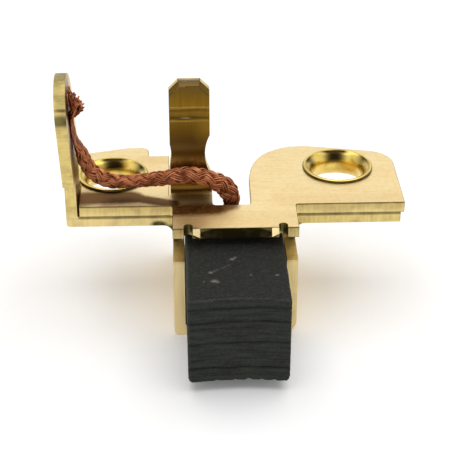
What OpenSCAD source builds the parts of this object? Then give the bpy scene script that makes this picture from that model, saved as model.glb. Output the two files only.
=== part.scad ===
// Carbon brush in a folded brass holder. Two brass sheets are clinched together by two
// hollow eyelets: the upper one carries the blade terminal, the lower one is folded into
// the box that guides the brush and into the arm that the copper pigtail is welded to.
// Millimetres. X runs along the ears, Y from the contact face to the back, Z upwards.
// The origin is in the upper sheet's top face, on the middle of the box's front opening.

/* [Carbon block] */
// Width of the block, across the box
block_w = 10; // [8:0.5:12]
// Height of the block, in line with the motor's shaft
block_h = 9.7; // [8:0.1:11]
// Length of the block, from the contact face to its back
block_l = 18; // [16:0.5:20]
// How far the block stands out of the front of the box
block_out = 10.1; // [6:0.1:11]
// Radius of the commutator that the contact face is worn to
commutator_r = 30; // [20:1:60]
// Rounding of the block's two lower long edges
block_edge_r = 0.65; // [0.3:0.05:1.2]
// Chamfer of the block's two upper long edges
block_edge_c = 0.15; // [0.1:0.05:0.4]
// Width of the unworn land along each side of the contact face
face_land = 0.1; // [0.05:0.05:0.4]

/* [Box] */
// Thickness of the lower sheet, which the box is folded from
box_t = 1.15; // [0.8:0.05:1.4]
// Side clearance between the block and each cheek of the box
side_gap = 0.22; // [0.1:0.02:0.4]
// Clearance between the top of the block and the upper sheet
top_gap = 0.85; // [0.5:0.05:1.5]
// Length of the box, from its front opening to its back
box_l = 16; // [13:0.5:18]
// Radius inside the two lower folds of the box
box_fold_r = 0.25; // [0.1:0.05:0.5]
// Radius under the folds between the ears and the cheeks
ear_fold_r = 1; // [0.6:0.1:1.4]
// Depth of the step from the ears down to the top of the cheeks in front of them
cheek_step = 1.55; // [1:0.05:3]

/* [Upper sheet] */
// Thickness of the upper sheet
plate_t = 1.2; // [0.8:0.05:1.4]
// Distance from the box's front to the front edge of the ears
ear_front = 4.7; // [3.5:0.1:5.5]
// Left end of the left ear
left_end = -16; // [-18:0.1:-15.6]
// Right end of the right ear
right_end = 17.7; // [17:0.1:20]
// Left side of the slot that the pigtail comes up through
slot_left = -2.22; // [-2.6:0.02:-1.8]
// Right side of the same slot
slot_right = 1.75; // [1.4:0.05:2.2]
// Distance from the front opening to the ears' furthest point at the back
ear_back = 17.75; // [17:0.05:19]
// Rounding of the ears' outer corners at the back
ear_corner_r = 1.8; // [1:0.1:2.4]
// How far the right ear's back edge has come forward at its right end
right_drop = 1.95; // [1:0.05:2.5]
// How far the left ear's back edge has come forward at its left end
left_drop = 1.5; // [0.5:0.05:2]
// Depth of the step in the left ear's back edge, beside the blade
left_step = 2; // [1:0.1:3]
// How much shorter the lower sheet's right ear is than the upper one
ear_short = 0.35; // [0:0.05:0.6]
// Width of the relief notch beside each lug
notch_w = 0.85; // [0.6:0.05:1]
// Depth of the relief notch beside each lug
notch_d = 0.85; // [0.6:0.05:1.2]
// Width of each lug bent down at the front edge
lug_w = 0.8; // [0.5:0.05:1]
// Length of each lug on its inner side
lug_l = 1.05; // [0.7:0.05:1.2]
// Thickness that each lug is coined to
lug_t = 0.55; // [0.4:0.05:0.8]
// Angle that the lugs are bent down by
lug_angle = 45; // [30:5:60]

/* [Blade terminal] */
// Width of the blade
blade_w = 4.13; // [3.6:0.01:4.25]
// Height of the blade's tip over the sheet
blade_h = 12.4; // [10:0.1:14]
// Distance from the box's front to the blade's front face
blade_y = 7.8; // [7.75:0.05:8.4]
// Radius inside the fold at the foot of the blade
blade_fold_r = 0.8; // [0.4:0.05:1]
// Corner chamfer at the tip
tip_c = 0.95; // [0.5:0.05:1.2]
// Bevel on the front edges of the tip
tip_bevel = 0.4; // [0.2:0.05:0.6]
// Depth of the waist on the right side of the blade
waist_right = 0.5; // [0.2:0.05:0.7]
// Depth of the waist on the left side of the blade
waist_left = 0.14; // [0.05:0.01:0.3]
// Height of the waist's middle over the sheet
waist_z = 4.3; // [4:0.1:5]
// Depth of the groove pressed across the blade
groove_d = 0.12; // [0.05:0.01:0.2]
// Width of the groove pressed across the blade
groove_w = 1.1; // [0.6:0.05:1.4]
// Height of the groove's middle over the sheet
groove_z = 9; // [8:0.1:9.5]

/* [Arm] */
// Front edge of the arm's neck, which is as wide as it is long below the head
neck_w = 5.1; // [4:0.1:6]
// Width of the rounded head that the pigtail is welded to
head_w = 8.2; // [7:0.1:9]
// Distance from the box's front to the front edge of the head
head_y = 3.2; // [2.8:0.1:3.6]
// Height of the step between neck and head
step_z = 3; // [2:0.1:4]
// Height of the head's top over the upper sheet
arm_h = 13.5; // [13:0.1:15]
// Outward lean of the head
arm_lean = 2.8; // [1:0.1:3]
// Radius inside the fold at the foot of the arm
arm_fold_r = 0.2; // [0.1:0.05:0.3]

/* [Eyelets] */
// Bore of the eyelets, for an M5 screw
eyelet_bore = 5.3; // [4.8:0.1:5.6]
// Wall of the eyelets
eyelet_wall = 0.5; // [0.35:0.05:0.6]
// Radius of the rolled lips
lip_r = 0.58; // [0.4:0.02:0.7]
// Radial clearance between the eyelets and the holes in the sheets
eyelet_gap = 0.03; // [0.01:0.01:0.06]
// Centre of the left eyelet, across
left_x = -12.75; // [-12.8:0.05:-12]
// Centre of the left eyelet, from the front
left_y = 11.45; // [11.4:0.05:12]
// Centre of the right eyelet, across
right_x = 11.5; // [11.3:0.05:12.5]
// Centre of the right eyelet, from the front
right_y = 12.6; // [12:0.05:12.8]

/* [Pigtail] */
// Diameter of the stranded copper pigtail
braid_d = 1.7; // [1.4:0.05:1.7]
// Depth that the pigtail is tamped into the block
braid_depth = 5; // [3:0.5:7]
// Radial clearance of the hole that it is tamped into
braid_gap = 0.05; // [0.02:0.01:0.2]

/* [Hidden] */
$fn = 96;
ARC = 10;
over = 1;
brass = "#d8bd6e";
brass_dark = "#7d6420";
gold = "#d9ab35";
carbon = "#2b2d2e";
copper = "#a5654b";

// Heights: the upper sheet hangs down from the origin's plane, the lower one under it
ear_z = -plate_t;
ear_under_z = ear_z - box_t;
block_top_z = ear_z - top_gap;
block_under_z = block_top_z - block_h;
box_under_z = block_under_z - box_t;
cheek_top_z = ear_under_z - cheek_step;
// Half widths of the box, inside and outside
box_in = block_w / 2 + side_gap;
box_out = box_in + box_t;
// The blade, which continues the strip at the left side of the slot
blade_right = slot_left - 0.2;
blade_left = blade_right - blade_w;
slit_w = 0.2;
fold_y = blade_y - blade_fold_r;
slit_y = fold_y - 0.1;
left_ear_right = blade_left - slit_w;
waist_r = 4.9;
shoulder_h = 1.6;
shoulder_foot = 0.4;
// The curved back edges of the ears: the furthest point back and the rounding there
right_peak_x = 7.85;
right_peak_r = 3.5;
left_peak_x = -11.3;
left_peak_r = 2;
left_step_x = -9;
left_step_r = 0.8;
// The bend in the right ear's inner side, and where its back edge starts
bend_y = ear_front + 6.5;
bend_r = 4;
inner_x = slot_right + 1.75;
inner_y = ear_back - 1.4;
inner_r = 1.5;
// The arm
arm_x = left_end - arm_fold_r;
neck_y = ear_front;
head_r = head_w / 2 - 0.05;
relief = 0.6;
neck_end = neck_y + neck_w + relief;
ear_out = arm_x - box_t + 0.25;
// The eyelets
eyelet_r = eyelet_bore / 2;
hole_r = eyelet_r + eyelet_wall + eyelet_gap;
eyelet_l = plate_t + box_t;
lug_x = box_in - notch_w - lug_w;
lug_slant = 0.35;
// Small radii of the outlines
notch_r = notch_w / 2 - 0.02;
ear_fillet = 0.3;
slot_fillet = 0.4;
step_r = 0.25;
// The pigtail's entry into the block
braid_x = -0.3;
braid_y = 6.3;
braid_r = braid_d / 2;
// The pigtail's line from the block to the weld: x, y, z, half thickness, half width
route = [
    [-0.3, 6.3, -4.5, 1, 1],
    [-0.3, 6.3, -2, 1, 1],
    [-0.3, 6.3, -0.9, 1, 1],
    [-0.4, 6.35, 0, 1, 1],
    [-0.7, 6.4, 0.8, 1, 1],
    [-1.3, 6.5, 1.4, 1, 1],
    [-2.1, 6.6, 1.8, 1, 1],
    [-3.2, 6.7, 2.1, 1, 1],
    [-4.4, 6.75, 2.3, 1, 1],
    [-5.6, 6.8, 2.3, 1, 1],
    [-6.9, 6.9, 2.05, 1, 1],
    [-8.2, 7.1, 1.8, 1, 1],
    [-9.6, 7.3, 1.55, 1, 1],
    [-11, 7.4, 1.4, 1, 1],
    [-12.4, 7.4, 1.45, 1, 1],
    [-13.6, 7.3, 1.95, 1, 1],
    [-14.6, 7.15, 2.85, 1, 1],
    [-15.1, 7, 3.9, 1, 1],
    [-15.4, 6.9, 5.1, 1, 1],
    [-15.7, 6.8, 6.4, 0.8, 1.1],
    [-15.95, 6.7, 7.6, 0.58, 1.2],
    [-16.18, 6.6, 8.8, 0.36, 1.4],
    [-16.2, 6.55, 9.8, 0.4, 1.4],
    [-16.0, 6.5, 10.7, 0.68, 1.3],
    [-15.85, 6.5, 11.5, 0.9, 1.2],
    [-16.1, 6.5, 12.2, 0.6, 1],
    [-16.35, 6.5, 12.8, 0.35, 0.7],
];
SIDES = 8;

function unit(v) = v / norm(v);
function place(p) = [p.x, p.y, p.z];
function along(p, i) = unit(place(p[min(i + 1, len(p) - 1)]) - place(p[max(i - 1, 0)]));
// One ring of the tube: its width lies along Y as far as the line's direction allows
function ring(p, t) =
    let (b = unit([0, 1, 0] - t * t.y), n = cross(t, b))
    [for (k = [0:SIDES - 1])
        place(p) + braid_r * (p[3] * cos(360 * k / SIDES) * n + p[4] * sin(360 * k / SIDES) * b)];

// The points of the rounding at b, between a and c. Each is [x, y, r].
function rounding(a, b, c) =
    let (at = [b.x, b.y], u = unit([a.x, a.y] - at), v = unit([c.x, c.y] - at), r = b[2])
    let (half = acos(u * v) / 2, turn = 180 - 2 * half)
    let (centre = at + unit(u + v) * r / sin(half))
    let (s = at + u * r / tan(half) - centre, e = at + v * r / tan(half) - centre)
    r == 0 ? [at] : [for (k = [0:ARC])
        centre + (sin((1 - k / ARC) * turn) * s + sin(k / ARC * turn) * e) / sin(turn)];

// Flat shape with rounded corners
module rounded(p) {
    n = len(p);
    polygon([for (i = [0:n - 1]) each rounding(p[(i + n - 1) % n], p[i], p[(i + 1) % n])]);
}

// Extrudes an outline drawn in X and Z from y = a to y = b
module across_y(a, b) {
    translate([0, b, 0]) rotate([90, 0, 0]) linear_extrude(b - a) children();
}

// Extrudes an outline drawn in Y and Z from x = a to x = b
module across_x(a, b) {
    translate([a, 0, 0]) rotate([90, 0, 90]) linear_extrude(b - a) children();
}

// The section of a fold: a quarter ring round c, in the quadrant that the signs in s give
module quarter(c, r, t, s) {
    side = r + t + over;
    translate(c) intersection() {
        difference() {
            circle(r = r + t);
            circle(r = r);
        }
        translate([s.x > 0 ? 0 : -side, s.y > 0 ? 0 : -side]) square(side);
    }
}

module eyelet_holes() {
    for (c = [[left_x, left_y], [right_x, right_y]]) translate(c) circle(r = hole_r);
}

// The outer end of a right ear, ready to be closed towards the middle
function right_ear(short) = [
    [right_end - short, ear_front, 0],
    [right_end - short, ear_back - right_drop - short, ear_corner_r],
];

// The left ear, from the step in its back edge round to its front, which both sheets share
function left_ear() = [
    [left_step_x, ear_back - left_step, step_r], [left_step_x, ear_back, left_step_r],
    [left_peak_x, ear_back, left_peak_r], [ear_out, ear_back - left_drop, ear_corner_r],
    [ear_out, neck_end, 0], [left_end, neck_end, step_r], [left_end, ear_front, 0],
];

// The relief notches beside the two lugs
function notch(x) = [
    [x, 0, 0], [x, notch_d, notch_r], [x + notch_w, notch_d, notch_r], [x + notch_w, 0, 0],
];

// The upper sheet in the flat, up to the blade's fold
module upper_flat() {
    difference() {
        rounded(concat(
            [[-box_out, 0, 0]], notch(-box_in), notch(box_in - notch_w),
            [[box_out, 0, 0], [box_out, ear_front, ear_fillet]], right_ear(0),
            [
                [right_peak_x, ear_back, right_peak_r], [inner_x, inner_y, inner_r],
                [slot_right, bend_y, bend_r], [slot_right, ear_front, slot_fillet],
                [slot_left, ear_front, slot_fillet], [slot_left, fold_y, 0],
                [blade_left, fold_y, 0], [blade_left, slit_y, 0], [left_ear_right, slit_y, 0],
                [left_ear_right, ear_back - left_step, 0],
            ],
            left_ear(), [[-box_out, ear_front, ear_fillet]]
        ));
        eyelet_holes();
    }
}

// A lug bent down at the front edge, longer on its inner side
module lug() {
    translate([lug_x, 0, 0]) rotate([lug_angle, 0, 0]) translate([0, 0, -lug_t])
        linear_extrude(lug_t)
        polygon([[0, 0], [0, -lug_l], [lug_w, -lug_l + lug_slant], [lug_w, 0]]);
}

// The wedge that bevels one front edge of the blade's tip, from a to b in X and Z
module tip_wedge(a, b) {
    d = b - a;
    translate([a.x, blade_y, a.y]) rotate([0, -atan2(d.y, d.x), 0])
        rotate([45, 0, 0]) translate([-over, -tip_bevel * 2, -tip_bevel / sqrt(2)])
        cube([norm(d) + 2 * over, tip_bevel * 4, tip_bevel * 3]);
}

// The blade: a strip folded up at the back of the sheet, with a waist and a bevelled tip
module blade() {
    l = blade_left;
    r = blade_right;
    z = blade_h;
    foot = blade_fold_r;
    difference() {
        across_y(blade_y, blade_y + plate_t) difference() {
            polygon([
                [l, foot], [l, z - tip_c], [l + tip_c, z], [r - tip_c, z], [r, z - tip_c],
                [r, foot + shoulder_h], [slot_left, foot + shoulder_foot], [slot_left, foot],
            ]);
            translate([r + waist_r - waist_right, waist_z]) circle(r = waist_r);
            translate([l - waist_r + waist_left, waist_z]) circle(r = waist_r);
        }
        translate([l - over, blade_y - over, groove_z - groove_w / 2])
            cube([blade_w + 2 * over, over + groove_d, groove_w]);
        tip_wedge([l, z - tip_c], [l + tip_c, z]);
        tip_wedge([l + tip_c, z], [r - tip_c, z]);
        tip_wedge([r - tip_c, z], [r, z - tip_c]);
    }
    across_x(l, slot_left) quarter([fold_y, foot], foot, plate_t, [1, -1]);
}

module upper_plate() {
    color(brass) {
        translate([0, 0, -plate_t]) linear_extrude(plate_t) upper_flat();
        lug();
        mirror([1, 0, 0]) lug();
    }
    color(brass_dark) blade();
}

// The lower sheet's two ears in the flat
module lower_flat() {
    x = box_out + ear_fold_r;
    difference() {
        union() {
            rounded(concat([[x, ear_front, 0]], right_ear(ear_short), [[x, ear_back - ear_short, 0]]));
            rounded(concat([[-x, ear_front, 0], [-x, ear_back - left_step, 0]], left_ear()));
        }
        eyelet_holes();
    }
}

// The box and the folds up to the ears, as they are cut across
module hat_section() {
    turn = box_fold_r + box_t;
    fold_z = ear_under_z - ear_fold_r;
    for (s = [-1, 1]) {
        quarter([s * (box_out + ear_fold_r), fold_z], ear_fold_r, box_t, [-s, 1]);
        quarter([s * (box_out - turn), box_under_z + turn], box_fold_r, box_t, [s, -1]);
        translate([s > 0 ? box_in : -box_out, box_under_z + turn])
            square([box_t, fold_z - box_under_z - turn]);
    }
    translate([turn - box_out, box_under_z]) square([2 * (box_out - turn), box_t]);
}

module lower_plate() {
    side = box_out + ear_fold_r + over;
    color(brass) {
        translate([0, 0, ear_under_z]) linear_extrude(box_t) lower_flat();
        difference() {
            across_y(0, box_l) hat_section();
            translate([-side, -over, cheek_top_z])
                cube([2 * side, ear_front + over, cheek_step + box_t + over]);
        }
        arm();
    }
}

// The arm: a neck folded up at the end of the left ear, and a rounded head that leans out
module arm() {
    foot = ear_z + arm_fold_r;
    lean = (arm_h - step_z) * tan(arm_lean);
    across_y(neck_y, neck_y + neck_w) quarter([left_end, foot], arm_fold_r, box_t, [-1, -1]);
    intersection() {
        across_y(head_y - over, head_y + head_w + over) polygon([
            [arm_x, foot], [arm_x, step_z], [arm_x - lean, arm_h],
            [arm_x - lean - box_t, arm_h], [arm_x - box_t, step_z], [arm_x - box_t, foot],
        ]);
        across_x(arm_x - box_t - lean - over, arm_x + over) rounded([
            [neck_y, foot, 0], [neck_y + neck_w, foot, 0], [neck_y + neck_w, step_z, step_r],
            [head_y + head_w, step_z, step_r], [head_y + head_w, arm_h, head_r],
            [head_y, arm_h, head_r], [head_y, step_z, step_r], [neck_y, step_z, step_r],
        ]);
    }
}

// A hollow eyelet with a rolled lip on each side of the two sheets
module eyelet(x, y) {
    color(gold) translate([x, y, 0]) rotate_extrude() {
        translate([eyelet_r, -eyelet_l]) square([eyelet_wall, eyelet_l]);
        intersection() {
            translate([eyelet_r + lip_r, 0]) circle(r = lip_r);
            translate([eyelet_r, 0]) square([2 * lip_r, lip_r]);
        }
        intersection() {
            translate([eyelet_r + lip_r, -eyelet_l]) circle(r = lip_r);
            translate([eyelet_r, -eyelet_l - lip_r]) square([2 * lip_r, lip_r]);
        }
    }
}

module eyelet_left() {
    eyelet(left_x, left_y);
}

module eyelet_right() {
    eyelet(right_x, right_y);
}

module carbon_block() {
    w = block_w / 2;
    top = block_under_z + block_h;
    side = w - face_land;
    sag_y = sqrt(commutator_r * commutator_r - side * side);
    color(carbon) difference() {
        across_y(-block_out, block_l - block_out) rounded([
            [-w, block_under_z, block_edge_r], [w, block_under_z, block_edge_r],
            [w, top - block_edge_c, 0], [w - block_edge_c, top, 0],
            [block_edge_c - w, top, 0], [-w, top - block_edge_c, 0],
        ]);
        translate([0, -block_out - sag_y, block_under_z - over])
            cylinder(r = commutator_r, h = block_h + 2 * over);
        translate([braid_x, braid_y, block_top_z - braid_depth])
            cylinder(r = braid_r + braid_gap, h = braid_depth + over);
    }
}

module pigtail() {
    line = concat([[braid_x, braid_y, block_top_z - braid_depth, 1, 1]], route);
    n = len(line);
    color(copper) polyhedron(
        points = [for (i = [0:n - 1]) each ring(line[i], along(line, i))],
        faces = [
            [for (k = [0:SIDES - 1]) SIDES - 1 - k],
            for (i = [0:n - 2]) for (k = [0:SIDES - 1]) let (a = i * SIDES, m = (k + 1) % SIDES)
                each [[a + k, a + m, a + SIDES + m], [a + k, a + SIDES + m, a + SIDES + k]],
            [for (k = [0:SIDES - 1]) (n - 1) * SIDES + k],
        ]
    );
}

upper_plate();
lower_plate();
eyelet_left();
eyelet_right();
carbon_block();
pigtail();
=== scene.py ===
"""Carbon brush in a folded brass holder: the looks of the part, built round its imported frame."""

import math
import random
from contextlib import contextmanager
from functools import partialmethod

import bmesh
import bpy
import numpy as np
from bpy.props import FloatProperty, FloatVectorProperty, IntProperty, PointerProperty
from mathutils import Euler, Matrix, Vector, noise


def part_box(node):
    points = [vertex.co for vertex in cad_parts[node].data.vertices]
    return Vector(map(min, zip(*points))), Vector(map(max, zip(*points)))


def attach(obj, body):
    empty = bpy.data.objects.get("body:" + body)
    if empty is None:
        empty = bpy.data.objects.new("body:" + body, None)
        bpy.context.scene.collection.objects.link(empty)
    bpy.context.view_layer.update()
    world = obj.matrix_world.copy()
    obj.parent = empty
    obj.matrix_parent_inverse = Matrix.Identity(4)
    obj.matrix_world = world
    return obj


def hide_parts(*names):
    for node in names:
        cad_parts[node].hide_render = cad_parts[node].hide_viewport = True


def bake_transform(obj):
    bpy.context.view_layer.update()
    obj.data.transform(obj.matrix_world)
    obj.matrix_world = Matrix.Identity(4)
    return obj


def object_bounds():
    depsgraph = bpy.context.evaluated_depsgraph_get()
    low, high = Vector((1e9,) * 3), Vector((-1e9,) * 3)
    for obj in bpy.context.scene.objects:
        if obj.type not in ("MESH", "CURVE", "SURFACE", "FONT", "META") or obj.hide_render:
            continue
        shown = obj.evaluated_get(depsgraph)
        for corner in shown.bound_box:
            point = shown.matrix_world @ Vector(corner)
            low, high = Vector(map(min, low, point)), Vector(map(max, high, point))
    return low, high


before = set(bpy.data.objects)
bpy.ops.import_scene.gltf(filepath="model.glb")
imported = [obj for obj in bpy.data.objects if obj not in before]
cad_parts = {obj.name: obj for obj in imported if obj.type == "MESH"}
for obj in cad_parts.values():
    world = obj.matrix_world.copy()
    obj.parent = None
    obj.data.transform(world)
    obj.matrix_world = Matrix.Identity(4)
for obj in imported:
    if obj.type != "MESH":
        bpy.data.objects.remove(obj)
CAD_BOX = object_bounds()
MM = 0.001

bl_info = {
    "name": "Carbon Brush",
    "version": (1, 0, 0),
    "blender": (4, 5, 0),
    "location": "3D View > Sidebar > Brush",
    "description": "Finishes the sheets, eyelets, carbon block and pigtail of a carbon brush",
    "category": "Object",
}

# -------- shader and field maths


class Value:
    """A node's output that can be used in sums."""

    def __init__(self, tree, socket):
        self.tree = tree
        self.socket = socket

    def feed(self, target):
        self.tree.links.new(self.socket, target)

    def math(self, operation, *others):
        return add_node(self.tree, "ShaderNodeMath", [self, *others], operation=operation)

    def vector(self, operation, *others, out=0):
        inputs = [self, *others]
        return add_node(self.tree, "ShaderNodeVectorMath", inputs, out, operation=operation)

    dot = partialmethod(vector, "DOT_PRODUCT", out="Value")
    length = partialmethod(vector, "LENGTH", out="Value")
    __add__ = partialmethod(math, "ADD")
    __sub__ = partialmethod(math, "SUBTRACT")
    __mul__ = partialmethod(math, "MULTIPLY")
    __truediv__ = partialmethod(math, "DIVIDE")

    def __rsub__(self, other):
        return (self * -1) + other

    def ramp(self, low=0.0, high=1.0, to_low=0.0, to_high=1.0):
        """Runs from to_low at low to to_high at high, and stays there outside."""
        return add_node(self.tree, "ShaderNodeMapRange", [self, low, high, to_low, to_high])

    def part(self, axis):
        """The X, Y or Z part of a vector."""
        return add_node(self.tree, "ShaderNodeSeparateXYZ", [self], axis)


def add_node(tree, kind, inputs=(), out=0, **settings):
    """Adds a node, sets what it is, then its sockets, and returns one of its outputs."""
    node = tree.nodes.new(kind)
    for name, value in settings.items():
        setattr(node, name, value)
    pairs = inputs.items() if isinstance(inputs, dict) else enumerate(inputs)
    for place, value in pairs:
        if isinstance(value, Value):
            value.feed(node.inputs[place])
        else:
            node.inputs[place].default_value = value
    return Value(tree, node.outputs[out])


def scaled(tree, vector, amount):
    """A vector times a number, either of which may be a node's output."""
    inputs = {"Vector": vector, "Scale": amount}
    return add_node(tree, "ShaderNodeVectorMath", inputs, operation="SCALE")


def shade(colour, share):
    """A colour made darker, or brighter where share is over 1."""
    return tuple(share * c for c in colour)


# Places of the Mix node's factor and two colours among its inputs, and of the mixed colour
MIX_SOCKETS = (0, 6, 7)
MIX_OUTPUT = 2


class Finish:
    """A material with one Principled shader, patterned in millimetres of Object space."""

    def __init__(self, name, **constants):
        self.material = bpy.data.materials.new(name)
        self.material.use_nodes = True
        self.tree = self.material.node_tree
        self.shader = self.tree.nodes["Principled BSDF"]
        place = add_node(self.tree, "ShaderNodeTexCoord", out="Object")
        scale = {"Vector": place, "Scale": (1 / MM,) * 3}
        self.place = add_node(self.tree, "ShaderNodeMapping", scale)
        self.set(**constants)

    def set(self, **sockets):
        for name, value in sockets.items():
            target = self.shader.inputs[name.replace("_", " ")]
            if isinstance(value, Value):
                value.feed(target)
            else:
                target.default_value = value

    def noise(self, per_mm=1, detail=3, stretch=(1, 1, 1), turn=0.0, shift=0.0):
        """Noise from 0 to 1 with about so many grains to a millimetre."""
        turned = {"Rotation": (0, 0, turn), "Scale": stretch, "Location": (shift,) * 3}
        place = add_node(self.tree, "ShaderNodeMapping", {"Vector": self.place, **turned})
        grains = {"Vector": place, "Scale": per_mm, "Detail": detail}
        return add_node(self.tree, "ShaderNodeTexNoise", grains)

    def mix(self, factor, a, b):
        """Colour a where factor is 0 or less, and b where it is 1 or more."""
        a, b = (c if isinstance(c, Value) else (*c[:3], 1) for c in (a, b))
        sockets = dict(zip(MIX_SOCKETS, (factor, a, b)))
        return add_node(self.tree, "ShaderNodeMix", sockets, MIX_OUTPUT, data_type="RGBA")

    def spot(self, centre, radii, soft=0.25):
        """1 inside an ellipsoid round a point, and 0 outside it."""
        offset = self.place.vector("SUBTRACT", centre)
        offset = offset.vector("MULTIPLY", tuple(1 / radius for radius in radii))
        return offset.length().ramp(1 + soft, 1 - soft)

    def streak(self, a, b, half_width, soft=0.4):
        """1 along the line from a to b, and 0 away from it."""
        a, b = Vector(a), Vector(b)
        offset = self.place.vector("SUBTRACT", tuple(a))
        share = offset.dot(tuple((b - a) / (b - a).length_squared)).ramp()
        distance = offset.vector("SUBTRACT", scaled(self.tree, tuple(b - a), share)).length()
        return distance.ramp(half_width * (1 + soft), half_width * (1 - soft))

    def ramp(self, factor, stops):
        """Colours set at places from 0 to 1 along the factor."""
        node = self.tree.nodes.new("ShaderNodeValToRGB")
        places = node.color_ramp.elements
        while len(places) < len(stops):
            places.new(0.5)
        for place, (at, colour) in zip(places, stops):
            place.position = at
            place.color = (*colour[:3], 1)
        factor.feed(node.inputs["Fac"])
        return Value(self.tree, node.outputs["Color"])

    def attribute(self, name):
        return add_node(self.tree, "ShaderNodeAttribute", out="Fac", attribute_name=name)

    def finished(self, colour, roughness, height, depth_mm):
        """Sets the colour, the roughness and a bump so deep, and returns the material."""
        sockets = {"Distance": depth_mm * MM, "Height": height}
        bump = add_node(self.tree, "ShaderNodeBump", sockets)
        self.set(Base_Color=colour, Roughness=roughness, Normal=bump)
        return self.material


# -------- settings


def colour_setting(name, of, value):
    """The colour of something that the text names."""
    text = "Colour of " + of
    return FloatVectorProperty(
        name=name, description=text, default=value, subtype="COLOR", size=3, min=0, max=1
    )


def length_setting(name, text, value):
    """A length, given here in millimetres."""
    return FloatProperty(
        name=name, description=text, default=value * MM, unit="LENGTH", precision=5
    )


class SheetSettings(bpy.types.PropertyGroup):
    face: colour_setting("Face", "the brass sheets' faces", (0.86, 0.68, 0.36))
    tarnish: colour_setting("Tarnish", "the brass where it is dull", (0.70, 0.50, 0.21))
    sheared: colour_setting("Sheared edge", "the cut edges", (0.76, 0.60, 0.22))
    # Dark to paint the shade and dark reflection along each rounded edge
    rim: colour_setting("Rolled rim", "each edge's rounding", (0.085, 0.052, 0.015))
    # Carbon dust inside the box, and also the colour of the painted shade and dark reflection on
    # the cut edges and the prongs
    soot_and_shade: colour_setting("Carbon dust", "brass blackened by dust", (0.05, 0.04, 0.012))
    # Heat tint near the weld, and also the colour of the painted shadow and reflection of the
    # pigtail and of the painted shade at the arm's foot
    heat: colour_setting("Heat tint", "brass browned by welding", (0.16, 0.068, 0.008))
    # Mostly a painted dark reflection: the blade's front is coloured dark olive for what it
    # reflects
    blade: colour_setting("Blade", "the tarnished blade terminal", (0.19, 0.105, 0.012))
    edge: length_setting("Edge radius", "Rounding of the stamped edges", 0.13)


class EyeletSettings(bpy.types.PropertyGroup):
    colour: colour_setting("Colour", "the polished eyelets", (0.86, 0.63, 0.16))
    # Colour of the painted dark reflection in the bore and the painted shadow round the lip's foot
    dark: colour_setting("Tarnish", "the dark stain in the bore", (0.022, 0.013, 0.004))
    roughness: FloatProperty(
        name="Roughness", description="Roughness of the polished bore", default=0.16, min=0, max=1
    )


class BlockSettings(bpy.types.PropertyGroup):
    colour: colour_setting("Colour", "the graphite", (0.010, 0.010, 0.008))
    # Dust on the grains and the worn face, and also the colour of the painted highlight along the
    # left side
    light: colour_setting("Dust", "the scuffed grains", (0.048, 0.052, 0.043))
    scuff: colour_setting("Scuff", "the light scuffs", (0.19, 0.16, 0.15))
    chip: length_setting("Chipping", "Depth that the block's edges are worn by", 0.13)
    grain: length_setting("Mesh step", "Step of the block's surface mesh", 0.14)


class PigtailSettings(bpy.types.PropertyGroup):
    copper: colour_setting("Copper", "the bright copper wires", (0.56, 0.22, 0.10))
    dull: colour_setting("Dull copper", "the tarnished wires", (0.17, 0.045, 0.018))
    carriers: IntProperty(
        name="Carriers", description="Bundles of wires wound each way", default=5, min=2
    )
    wires: IntProperty(name="Wires", description="Wires in each bundle", default=3, min=1)
    pitch: length_setting("Lay length", "Length in which a bundle goes once round", 8.5)
    wire: length_setting("Wire diameter", "Diameter of one wire of the braid", 0.2)


class StageSettings(bpy.types.PropertyGroup):
    floor: colour_setting("Floor", "the floor", (0.97, 0.97, 0.97))
    lamp: FloatProperty(
        name="Lamp", description="Power of the lamp overhead", default=2.0, unit="POWER"
    )
    sky: FloatProperty(name="Sky", description="Strength of the even light", default=0.5)
    lens: FloatProperty(
        name="Lens", description="Focal length of the camera", default=108.24, unit="CAMERA"
    )


SETTINGS = {
    "brush_sheet": SheetSettings,
    "brush_eyelet": EyeletSettings,
    "brush_block": BlockSettings,
    "brush_pigtail": PigtailSettings,
    "brush_stage": StageSettings,
}

# -------- mesh helpers

# How near corners are welded, and how flat a joint between faces is dissolved, in degrees
WELD_REACH = 0.002 * MM
FLAT_ANGLE = 0.5


def add_object(name, data):
    piece = bpy.data.objects.new(name, data)
    bpy.context.scene.collection.objects.link(piece)
    return piece


@contextmanager
def editing(mesh):
    """The mesh as a bmesh, which is written back at the end."""
    bm = bmesh.new()
    bm.from_mesh(mesh)
    yield bm
    bm.to_mesh(mesh)
    bm.free()


def solid_copy(node, name):
    """A closed, welded copy of a CAD node, with its flat faces in one piece each."""
    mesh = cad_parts[node].data.copy()
    mesh.materials.clear()
    flat = math.radians(FLAT_ANGLE)
    with editing(mesh) as bm:
        bmesh.ops.remove_doubles(bm, verts=bm.verts, dist=WELD_REACH)
        bmesh.ops.dissolve_limit(
            bm, angle_limit=flat, verts=bm.verts, edges=bm.edges, delimit=set()
        )
    return add_object(name, mesh)


def apply_modifiers(piece):
    """Turns a piece and its modifiers into a plain mesh."""
    graph = bpy.context.evaluated_depsgraph_get()
    mesh = bpy.data.meshes.new_from_object(piece.evaluated_get(graph))
    piece.modifiers.clear()
    piece.data = mesh
    return mesh


def smooth(mesh, degrees=50):
    """Smooth shading where faces meet at less than so many degrees."""
    mesh.shade_smooth()
    mesh.set_sharp_from_angle(angle=math.radians(degrees))


def coordinates(mesh):
    """The mesh's corners in millimetres."""
    flat = np.empty(len(mesh.vertices) * 3)
    mesh.vertices.foreach_get("co", flat)
    return flat.reshape(-1, 3) / MM


def store(mesh, name, values):
    layer = mesh.attributes.new(name, "FLOAT", "POINT")
    layer.data.foreach_set("value", np.asarray(values, np.float32))


def bell(distance, width, power=2):
    """1 at no distance, and next to nothing at twice the width."""
    return np.exp(-((distance / width) ** power))


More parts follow.
